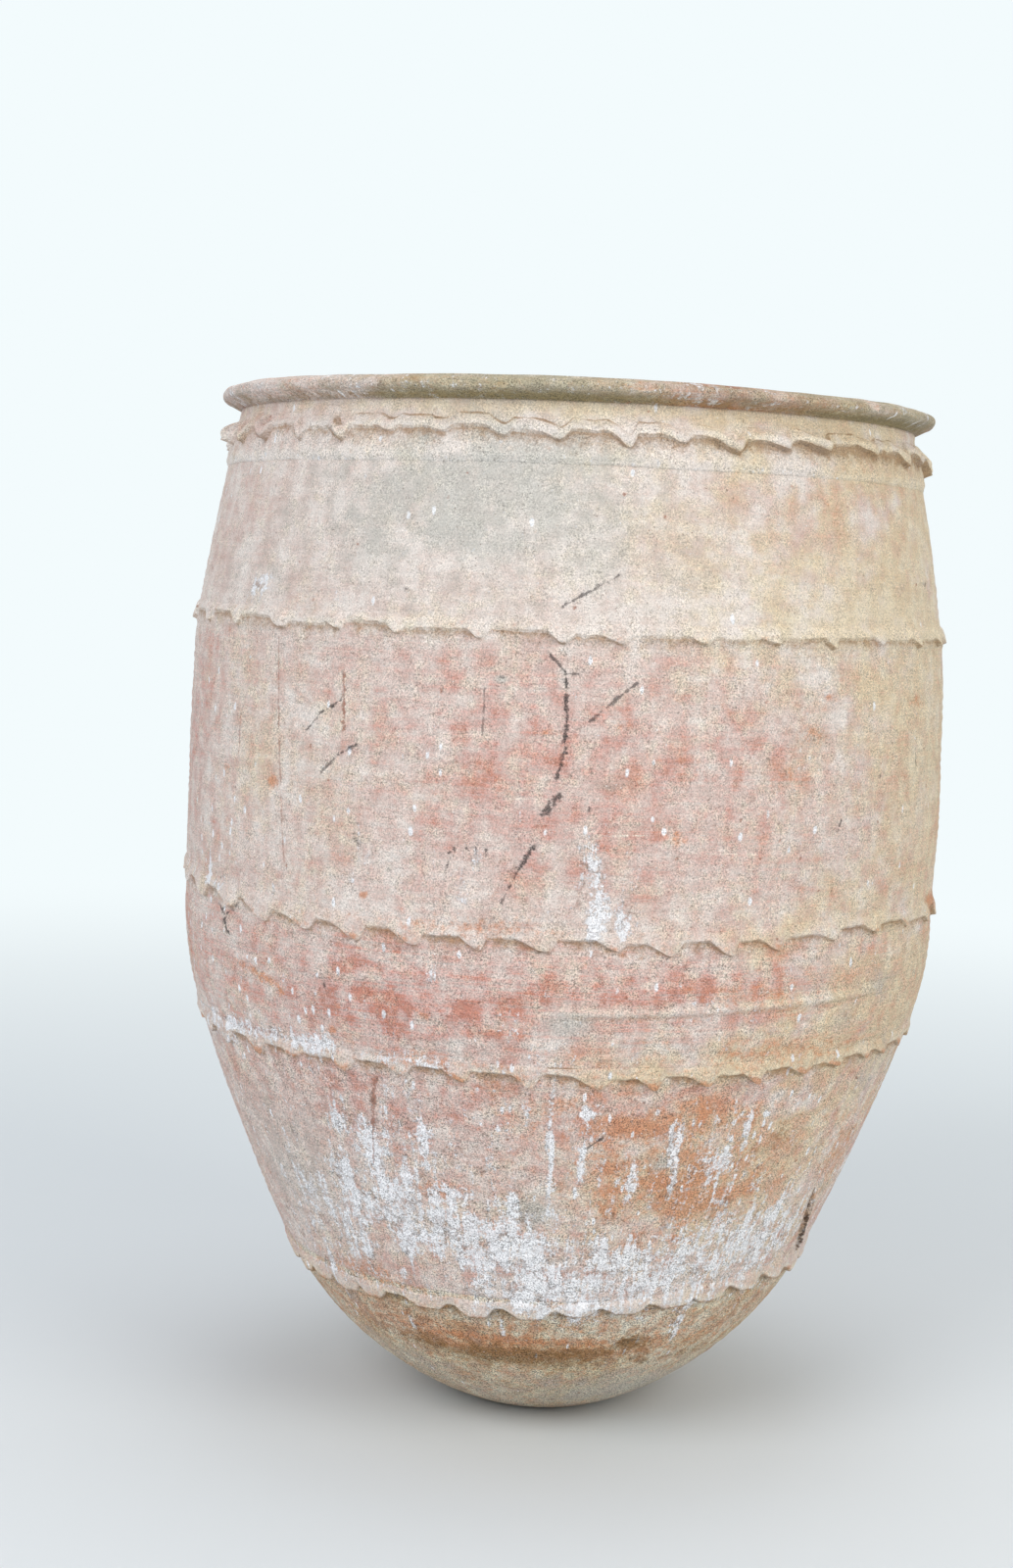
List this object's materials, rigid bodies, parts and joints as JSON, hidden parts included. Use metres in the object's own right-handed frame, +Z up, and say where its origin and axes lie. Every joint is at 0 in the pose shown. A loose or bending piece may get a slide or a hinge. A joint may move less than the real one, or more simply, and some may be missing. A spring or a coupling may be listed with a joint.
{
  "type": "greek pithos",
  "caption": "Large open storage jar of coarse terracotta: wide mouth with rolled rim, swelling belly with thumb-pressed bands, and a rounded lower body on a small flat foot.",
  "frame": {"origin": "middle of the flat face that the jar stands on", "axes": "+Z up along the jar's axis; the side that the picture shows faces -Y"},
  "size_m": [0.649, 0.649, 0.8515],
  "materials": {
    "wall_clay": "unglazed, weathered and lime-stained terracotta",
    "band_clay": "unglazed hand-pressed terracotta, paler on its worn edges",
    "rim_clay": "unglazed terracotta darkened by lichen and handling",
    "foot_clay": "unglazed terracotta with soil stains"
  },
  "bodies": {
    "root": {"base_disc": "foot_clay", "foot_bowl": "foot_clay", "lower_wall": "wall_clay", "hip_wall": "wall_clay", "belly_wall": "wall_clay", "shoulder_wall": "wall_clay", "neck_ring": "wall_clay", "rim": "rim_clay", "collar_strip": "band_clay", "neck_band": "band_clay", "shoulder_band": "band_clay", "belly_band": "band_clay", "hip_band": "band_clay", "foot_band": "band_clay"}
  },
  "joints": []
}
